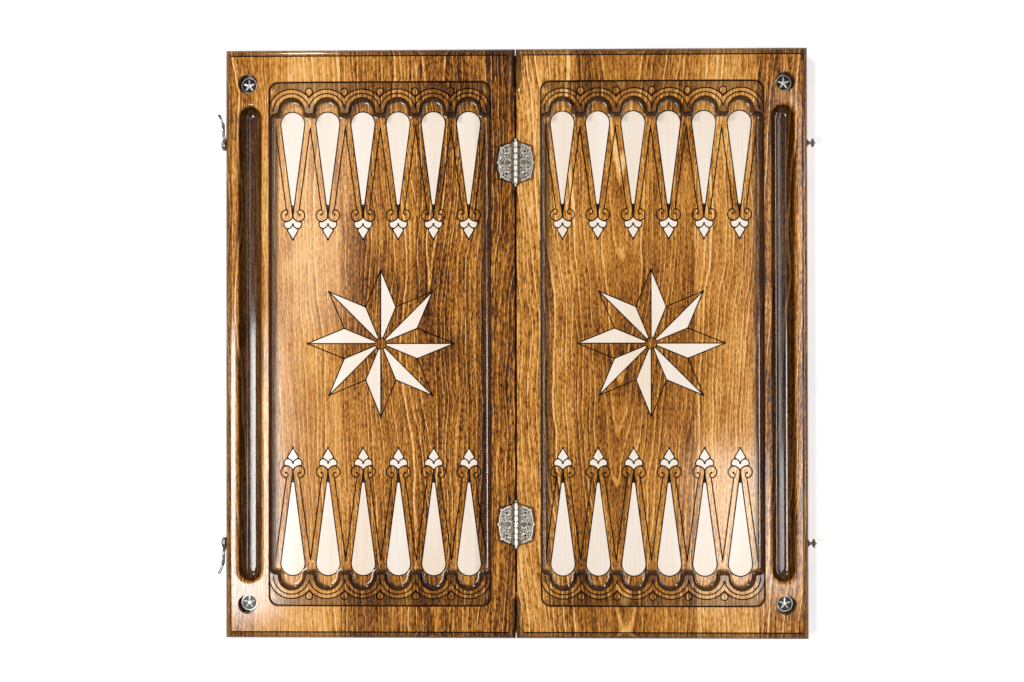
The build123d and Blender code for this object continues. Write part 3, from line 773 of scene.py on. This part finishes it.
def stained_wood(name, heart_x, heart_depth, taper, rings, staves):
    """Honey-brown stained, lacquered birch: staves side by side, each with its own tone and figure."""
    made, tree, shader, place = new_material(name)
    number = stave_number(tree, axes(tree, place)["X"], staves)
    offset = add_node(tree, "ShaderNodeCombineXYZ", {"Y": times(tree, number, STAVE_SHIFT)}).outputs[0]
    shifted = add_node(tree, "ShaderNodeVectorMath", {0: place, 1: offset}, operation="ADD").outputs[0]
    grain = use_group(
        tree, GRAIN, Place=shifted, Heart_X=heart_x, Heart_Depth=heart_depth, Taper=taper, Rings=rings
    )
    stave_tone = per_stave(tree, number, [tone for _, tone, _ in staves])
    figure = per_stave(tree, number, [strength for _, _, strength in staves])
    line = minus(tree, ramp(tree, grain["Rings"], *RING_LIGHT), RING_MIDDLE)
    line = times(tree, line, plus(tree, times(tree, grain["Age"], 0.6), 0.3))
    flecks = minus(tree, ramp(tree, grain["Flecks"], *FLECK_LIGHT), FLECK_MIDDLE)
    marks = plus(tree, plus(tree, line, flecks), centred(tree, grain["Fibres"], 1.0))
    cloudy = plus(tree, stave_tone, centred(tree, grain["Clouds"], 0.9))
    colour = ramp(tree, plus(tree, cloudy, times(tree, marks, figure), clamp=True), *WOOD_TONES)
    # The patina layer darkens the wood with real stain together with painted shade
    stain_and_shade = use_group(tree, STAIN_AND_SHADE, Place=place)
    stained_and_shaded = mixed(tree, 1.0, colour, STAIN_AND_SHADE_TINT, "MULTIPLY")
    colour = mixed(tree, times(tree, stain_and_shade["Soil"], STAIN_AND_SHADE_COVER), colour, stained_and_shaded)
    colour = mixed(tree, times(tree, stain_and_shade["Cut"], CUT_COVER), colour, CUT_COLOUR)
    link(tree, colour, shader, "Base Color")
    link(tree, times(tree, stain_and_shade["Cut"], CUT_MATTING), shader, "Metallic")
    rough = mapped(tree, grain["Fibres"], 0.25, 0.75, LACQUER_LOW, LACQUER_HIGH)
    link(tree, plus(tree, rough, times(tree, stain_and_shade["Cut"], 0.5)), shader, "Roughness")
    shader.inputs["Specular IOR Level"].default_value = 0.5
    height = plus(tree, times(tree, grain["Fibres"], 0.4), grain["Flecks"])
    relief(tree, shader, height, GRAIN_RELIEF, 0.35)
    return made


def pale_inlay():
    """Cream maple veneer under the lacquer, with faint grain and dark cut edges."""
    made, tree, shader, place = new_material("pale_inlay_wood")
    fine = noise(tree, stretched(tree, place, VENEER_PORES), 1.0, 3.0)
    warm = noise(tree, stretched(tree, place, VENEER_CLOUDS, VENEER_CLOUDS_OFFSET), 1.0, 1.0)
    colour = ramp(tree, warm, (0.36, srgb(247, 235, 223)), (0.68, srgb(242, 223, 202)))
    colour = mixed(tree, 1.0, colour, ramp(tree, fine, (0.3, 0.92), (0.7, 1.0)), "MULTIPLY")
    cut = use_group(tree, STAIN_AND_SHADE, Place=place)["Cut"]
    colour = mixed(tree, times(tree, cut, CUT_COVER), colour, CUT_COLOUR)
    link(tree, colour, shader, "Base Color")
    link(tree, times(tree, cut, CUT_MATTING), shader, "Metallic")
    link(tree, plus(tree, times(tree, fine, 0.15), 0.12), shader, "Roughness")
    shader.inputs["Specular IOR Level"].default_value = 0.5
    relief(tree, shader, fine, GRAIN_RELIEF, 0.4)
    return made


def antique_metal(name, bright, dark, rough_low, rough_high, worn=0.0, metallic=0.9):
    """Plated metal with dark oxide in the hollows, rubbed off the high places and a little off the rest."""
    made, tree, shader, place = new_material(name)
    mottle = noise(tree, place, METAL_MOTTLE, 4.0, 0.62)
    speckle = noise(tree, place, METAL_SPECKLE, 2.0, 0.6)
    rubbed = ramp(tree, mottle, (0.36, 0.0), (0.62, 1.0))
    if worn:
        raised = times(tree, painted(tree, "engraved"), 1.6)
        high = math_node(tree, "MAXIMUM", raised, painted(tree, "patina"))
        rubbed = plus(tree, times(tree, high, 0.95), times(tree, rubbed, worn), clamp=True)
    link(tree, mixed(tree, rubbed, dark, bright), shader, "Base Color")
    shader.inputs["Metallic"].default_value = metallic
    link(tree, mapped(tree, speckle, 0.3, 0.7, rough_low, rough_high), shader, "Roughness")
    relief(tree, shader, plus(tree, mottle, times(tree, speckle, 0.5)), METAL_RELIEF, 0.5)
    return made


# Each stave: its right edge, its tone and the strength of its figure
LEFT_STAVES = (
    (-0.270, 0.52, 0.9), (-0.181, 0.66, 0.62), (-0.104, 0.51, 0.85), (-0.030, 0.41, 1.0), (0.0, 0.33, 1.0),
)
RIGHT_STAVES = ((0.062, 0.62, 0.95), (0.185, 0.48, 0.8), (0.248, 0.68, 0.8), (0.3, 0.46, 0.95))
BOARD_WOOD = {
    "left": stained_wood("left_stained_wood", -0.088, 0.012, 0.035, 210.0, LEFT_STAVES),
    "right": stained_wood("right_stained_wood", 0.109, 0.0, 0.06, 190.0, RIGHT_STAVES),
}
INLAY_WOOD = pale_inlay()
HINGE_METAL = antique_metal("antique_silver_plate", srgb(226, 218, 204), srgb(62, 52, 41), 0.28, 0.5, 0.34)
PIN_METAL = antique_metal("rubbed_silver_plate", srgb(214, 212, 205), srgb(140, 137, 130), 0.24, 0.42)
NAIL_METAL = antique_metal("blackened_nails", srgb(92, 84, 74), srgb(22, 18, 15), 0.3, 0.5)
CATCH_METAL = antique_metal("dark_silver_plate", srgb(150, 149, 146), srgb(62, 60, 58), 0.3, 0.5)
MEDALLION_METAL = antique_metal("silver_on_black", srgb(244, 243, 240), srgb(6, 6, 6), 0.2, 0.38, 0.03, 0.5)


def smooth_step(values, low, high):
    t = np.clip((values - low) / (high - low), 0, 1)
    return t * t * (3 - 2 * t)


def arch_distance(x):
    """How far aside of the nearest arch's middle a place lies; x is from the field's middle."""
    aside = np.abs(x)
    past_last = aside - (POINTS - 1) / 2 * PITCH
    return np.where(aside > POINTS / 2 * PITCH, past_last, np.abs(aside % PITCH - PITCH / 2))


def wall_distance(x, y):
    """How far inside the scalloped wall of the field a place lies; x is from the field's middle."""
    from_arch = arch_distance(x)
    tongue = np.hypot(np.maximum(ARCH_RADIUS - from_arch, 0), TONGUE_LINE - y)
    arch = ARCH_RADIUS - np.hypot(from_arch, np.maximum(y - ARCH_LINE, 0))
    return np.where(y < TONGUE_LINE, np.minimum(FIELD_HALF_WIDTH - np.abs(x), tongue), arch)


# How full the real stain and the painted shade are on each part of the wood
HOLLOW_STAIN_AND_SHADE = 0.9
QUIRK_SHADE = 1.0
ROUND_OVER_SHADE = 0.55
SEAM_SHADE = 0.75
LEDGE_STAIN, SPANDREL_STAIN, TONGUE_STAIN = 0.12, 0.6, 0.7

# No stain and no painted shade on the outside of the case up to this height
PLAIN_HEIGHT = 10 * MM


def stain_and_shade_in_field(side, x, y):
    """Real stain together with painted shade on the field's floor and coves, full by the wall; it reaches
    farthest by the seam.
    """
    in_niche = y > ARCH_LINE - 10 * MM
    seam_side = (x * side < 0) & (FIELD_HALF_WIDTH - np.abs(x) < 20 * MM)
    outer_side = x * side > 0
    full = np.select([in_niche, outer_side], [2.0 * MM, 6.0 * MM], 4.5 * MM)
    reach = np.select([in_niche, seam_side, outer_side], [6.0 * MM, 15.0 * MM, 8.5 * MM], 10.5 * MM)
    return 1 - smooth_step(wall_distance(x, y), full, reach)


def stain_on_ledge(x, y):
    """The stain on a ledge: darker outside the double arcs, but not in the drops, and on the tongues."""
    from_arch = arch_distance(x)
    from_centre = np.hypot(from_arch, y - LEDGE_CENTRE)
    spandrel = smooth_step(from_centre, LEDGE_ARCS[0] - 0.3 * MM, LEDGE_ARCS[0] + 0.1 * MM)
    drop = np.hypot(PITCH / 2 - from_arch, y - LEDGE_DROP) < 3.6 * MM
    tongue = smooth_step(PITCH / 2 - from_arch, 5.5 * MM, 3.5 * MM) * smooth_step(y, 250 * MM, 244 * MM)
    least = np.maximum(LEDGE_STAIN, TONGUE_STAIN * tongue)
    return np.maximum(SPANDREL_STAIN * spandrel * (1 - drop), least)


def stain_and_shade_of_board(side):
    """Where one half is darkened: real stain on the spandrels and tongues, stain together with painted shade
    in the coves, troughs and wells, and painted shade on the quirks, rounded ends, seam walls and mortises.
    """
    def paint(mesh, layer):
        at = np.array([tuple(v.co) for v in mesh.verts])
        x, y, z = at[:, 0] - side * FIELD_MIDDLE, np.abs(at[:, 1]), at[:, 2]
        out = np.abs(at[:, 0])
        depth = CASE_TOP - z
        above_base = z > PLAIN_HEIGHT
        in_field = (np.abs(x) < FIELD_HALF_WIDTH + 0.2 * MM) & (y < FIELD_END + 0.2 * MM)
        above_ledge = z - LEDGE_LEVEL
        stain = np.zeros(len(at))
        # Real stain together with painted shade on the field's floor and coves by the walls
        stain = np.where(in_field & (above_ledge < -0.9 * MM), stain_and_shade_in_field(side, x, y), stain)
        stain = np.where(in_field & (np.abs(above_ledge) < 0.9 * MM), stain_on_ledge(x, y), stain)
        # The wall down to the ledge, darkened as much as the hollows
        ledge_wall = in_field & (above_ledge > 0.9 * MM) & (depth > 0.05 * MM)
        stain = np.where(ledge_wall, HOLLOW_STAIN_AND_SHADE, stain)
        # Real stain together with painted shade in the troughs and wells, darker deeper down
        outside = ~in_field & (out > FIELD_MIDDLE + FIELD_HALF_WIDTH) & (out < CASE_SIDE - 9 * MM)
        hollow = outside & (depth > 0.1 * MM) & above_base
        stain = np.where(hollow, HOLLOW_STAIN_AND_SHADE * smooth_step(depth, 2.5 * MM, 9 * MM), stain)
        # Painted shade: a dark line on the quirk's small step, where the rounding begins
        at_edge = (out > CASE_SIDE - EDGE_ROUND - 2 * MM) | (y > CASE_END - EDGE_ROUND - 2 * MM)
        quirk = (np.abs(depth - QUIRK_DEPTH) < 0.05 * MM) & at_edge
        stain = np.where(quirk, QUIRK_SHADE, stain)
        # Painted shade on the rounded ends, which turn away from the light
        round_over = (y > CASE_END - EDGE_ROUND - 0.1 * MM) & above_base
        stain = np.where(round_over, np.maximum(stain, ROUND_OVER_SHADE), stain)
        # Painted shade on the walls that face across the seam and in the hinges' mortises
        seam = (out < 22 * MM) & (depth > 1.2 * MM) & above_base
        stain = np.where(seam, np.maximum(stain, SEAM_SHADE), stain)
        for vertex, value in zip(mesh.verts, stain):
            vertex[layer] = float(value)
    return paint


def proud_of_leaf(end):
    """The rubbed places of a hinge leaf: its outer rim, and the crowns of the barrel's knuckles."""
    def paint(mesh, layer):
        for vertex in mesh.verts:
            out = abs(vertex.co.x)
            along = (vertex.co.y - end * HINGE_Y + KNUCKLE_STEP / 2) % KNUCKLE_STEP - KNUCKLE_STEP / 2
            high = vertex.co.z > LEAF_LEVEL + 0.3 * MM
            crown = out < BARREL_RADIUS * 0.8 and abs(along) < KNUCKLE_HALF - 0.4 * MM
            vertex[layer] = 1.0 if high and (out > 6 * MM or crown) else 0.0
    return paint


def proud_of_medallion(x, y, radius):
    """The polished outer edge of a medallion's rim."""
    def paint(mesh, layer):
        for vertex in mesh.verts:
            from_middle = math.hypot(vertex.co.x - x, vertex.co.y - y)
            high = vertex.co.z > MEDALLION_RIM - MEDALLION_RIM_HEIGHT
            vertex[layer] = 1.0 if high and from_middle > radius - MEDALLION_BRIGHT_EDGE else 0.0
    return paint


def finish_node(node, material):
    """Gives a CAD piece its finish; its shape stays."""
    mesh = frame["nodes"][node].data
    mesh.materials.clear()
    mesh.materials.append(material)


# The spacing of the extra corners that carry the stain and the painted shade across a half's wide faces
FLOOR_GRID, LEDGE_GRID = 4.0 * MM, 3.0 * MM


def dress_halves():
    """The two wooden halves and all that is let into them."""
    for half, side in HALVES:
        floor_lines = field_strokes(side)
        cuts = [
            (FLOOR_LEVEL, floor_lines, FLOOR_GRID), (LEDGE_LEVEL, ends_strokes(side), LEDGE_GRID),
            (CASE_TOP, top_strokes(side), 0.0),
        ]
        carved(half + "_board", cuts, BOARD_WOOD[half], stain_and_shade_of_board(side))
        inlays = [half + "_star_blades"]
        inlays += [f"{half}_{row}_finials" for row, _ in ROWS]
        inlays += [f"{half}_{row}_point_{i}" for row, _ in ROWS for i in range(1, POINTS + 1)]
        for node in inlays:
            carved(node, [(FLOOR_LEVEL, floor_lines, 0.0)], INLAY_WOOD)
        for row, _ in ROWS:
            node = f"{half}_{row}_medallion"
            low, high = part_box(node)
            x, y = (low.x + high.x) / 2, (low.y + high.y) / 2
            bright_edge = proud_of_medallion(x, y, (high.x - low.x) / 2)
            ground = high.z - MEDALLION_RIM_HEIGHT
            carved(node, [(ground, rosette(x, y), 0.0)], MEDALLION_METAL, bright_edge)


def dress_hinges():
    """The leaves with their scrollwork, sliced beside each knuckle's ends so that the crowns can shine."""
    for row, end in ROWS:
        middles = [end * HINGE_Y + (i - (KNUCKLES - 1) / 2) * KNUCKLE_STEP for i in range(KNUCKLES)]
        reaches = [KNUCKLE_HALF - inset * MM for inset in (0.35, 0.6)]
        slices = [y + step * reach for y in middles for step in (-1, 1) for reach in reaches]
        for half, side in HALVES:
            node = f"{row}_hinge_{half}_leaf"
            lines = scrolls(side, end)
            carved(node, [(LEAF_LEVEL, lines, 0.0)], HINGE_METAL, proud_of_leaf(end), slices=slices)
            finish_node(f"{row}_hinge_{half}_nails", NAIL_METAL)
        finish_node(f"{row}_hinge_pin", PIN_METAL)
        finish_node(f"{row}_hinge_cap", PIN_METAL)


def dress_catches():
    for row, _ in ROWS:
        for piece in ("hook", "hook_pin", "hook_washer", "catch_stud"):
            finish_node(f"{row}_{piece}", CATCH_METAL)


# The white floor: its half width, how much it glows near the case, and where it turns to plain white
FLOOR_HALF = 4.0
FLOOR_GLOW = 0.4
FLOOR_WHITE_FROM, FLOOR_WHITE_TO = 0.5, 1.5

# The dark strip of the floor under the seam: its half width, and how far short of the case's ends it stops
STRIP_HALF, STRIP_SHORT = 4 * MM, 2 * MM


def pale_floor():
    """A plain white floor, wide enough to fill every view, which doesn't glow through the open seam."""
    mesh = bmesh.new()
    corners = ((-1, -1), (1, -1), (1, 1), (-1, 1))
    mesh.faces.new([mesh.verts.new((x * FLOOR_HALF, y * FLOOR_HALF, 0.0)) for x, y in corners])
    data = bpy.data.meshes.new("pale_floor")
    mesh.to_mesh(data)
    mesh.free()
    floor = bpy.data.objects.new("pale_floor", data)
    bpy.context.scene.collection.objects.link(floor)
    made, tree, shader, place = new_material("white_paper")
    distance = add_node(tree, "ShaderNodeVectorMath", {0: place}, operation="LENGTH").outputs["Value"]
    away = mapped(tree, distance, FLOOR_WHITE_FROM, FLOOR_WHITE_TO, interpolation_type="SMOOTHSTEP")
    paper = ramp(tree, noise(tree, place, 35.0), (0.3, 0.86), (0.7, 0.9))
    link(tree, mixed(tree, away, paper, (0.0, 0.0, 0.0, 1.0)), shader, "Base Color")
    shader.inputs["Roughness"].default_value = 0.9
    shader.inputs["Specular IOR Level"].default_value = 0.0
    shader.inputs["Emission Color"].default_value = (1.0, 1.0, 1.0, 1.0)
    seen = add_node(tree, "ShaderNodeLightPath").outputs["Is Camera Ray"]
    glow = plus(tree, times(tree, away, 1.0 - FLOOR_GLOW), FLOOR_GLOW)
    parts = axes(tree, place)
    aside, along = (math_node(tree, "ABSOLUTE", parts[axis]) for axis in "XY")
    aside = math_node(tree, "GREATER_THAN", aside, STRIP_HALF)
    beyond = math_node(tree, "GREATER_THAN", along, CASE_END - STRIP_SHORT)
    glow = times(tree, glow, math_node(tree, "MAXIMUM", aside, beyond))
    link(tree, times(tree, seen, glow), shader, "Emission Strength")
    data.materials.append(made)


def softbox(name, place, size, power):
    """A soft lamp that faces the case, its first size across the case and its second along the seam."""
    lamp = bpy.data.lights.new(name, "AREA")
    lamp.shape = "RECTANGLE"
    lamp.size, lamp.size_y = size
    lamp.energy = power
    held = bpy.data.objects.new(name, lamp)
    held.location = place
    back = Vector(place).normalized()
    across = Vector((0.0, 1.0, 0.0)).cross(back).normalized()
    held.rotation_euler = Matrix((across, back.cross(across), back)).transposed().to_euler()
    bpy.context.scene.collection.objects.link(held)


# The strength of the white studio as fill light, and of its darker ceiling in reflections
FILL = 0.17
DARK_CEILING = 0.3

# Each lamp: its name, its place, its sizes and its power in watts
SOFTBOXES = (
    ("key_softbox", (-0.97, 1.25, 1.28), (0.24, 0.24), 13.8),
    ("left_softbox", (-0.39, 0.25, 1.32), (0.14, 0.44), 0.65),
    ("side_softbox", (-0.69, -0.28, 1.63), (0.36, 0.64), 15.0),
    ("right_softbox", (1.15, 0.05, 0.95), (0.1, 1.2), 6.0),
    ("low_softbox", (0.519, -0.385, 1.6), (0.2, 0.3), 1.5),
    ("strip_softbox", (0.633, 0.0, 1.6), (0.08, 1.06), 1.6),
)


def light_the_studio():
    """A white studio that is seen and mirrored, with a weak fill, and the soft lamps."""
    world = bpy.data.worlds.new("white_studio")
    bpy.context.scene.world = world
    world.use_nodes = True
    tree = world.node_tree
    path = add_node(tree, "ShaderNodeLightPath").outputs
    way = add_node(tree, "ShaderNodeTexCoord").outputs["Generated"]
    walls = mapped(tree, axes(tree, way)["Z"], 0.0, 0.4, 1.0, DARK_CEILING)
    shown = math_node(tree, "MAXIMUM", path["Is Camera Ray"], path["Is Transmission Ray"])
    shown = math_node(tree, "MAXIMUM", shown, times(tree, path["Is Glossy Ray"], walls))
    fill = times(tree, path["Is Diffuse Ray"], FILL)
    background = tree.nodes["Background"]
    background.inputs["Color"].default_value = (1.0, 1.0, 1.0, 1.0)
    tree.links.new(math_node(tree, "MAXIMUM", shown, fill), background.inputs["Strength"])
    for name, place, size, power in SOFTBOXES:
        softbox(name, place, size, power)


# The camera over the case, as fitted to the photographed outline; its turns are in radians
CAMERA_PLACE = (-0.02, 0.0, 1.45)
CAMERA_ANGLE = math.radians(40.668)
CAMERA_SHIFT = (0.0424, -0.0073)
CAMERA_TURNS = ((-0.00139, "Z"), (0.02012, "Y"), (0.0071, "X"))


def place_camera():
    """Straight down over the case."""
    camera = bpy.data.cameras.new("copy_stand")
    camera.sensor_fit = "HORIZONTAL"
    camera.sensor_width = 36.0
    camera.angle = CAMERA_ANGLE
    camera.shift_x, camera.shift_y = CAMERA_SHIFT
    held = bpy.data.objects.new("copy_stand", camera)
    held.location = CAMERA_PLACE
    about_z, about_y, about_x = (Matrix.Rotation(turn, 3, axis) for turn, axis in CAMERA_TURNS)
    held.rotation_euler = (about_z @ about_y @ about_x).to_euler()
    bpy.context.scene.collection.objects.link(held)
    bpy.context.scene.camera = held


bpy.context.scene.view_settings.view_transform = "Standard"
dress_halves()
dress_hinges()
dress_catches()
pale_floor()
light_the_studio()
place_camera()
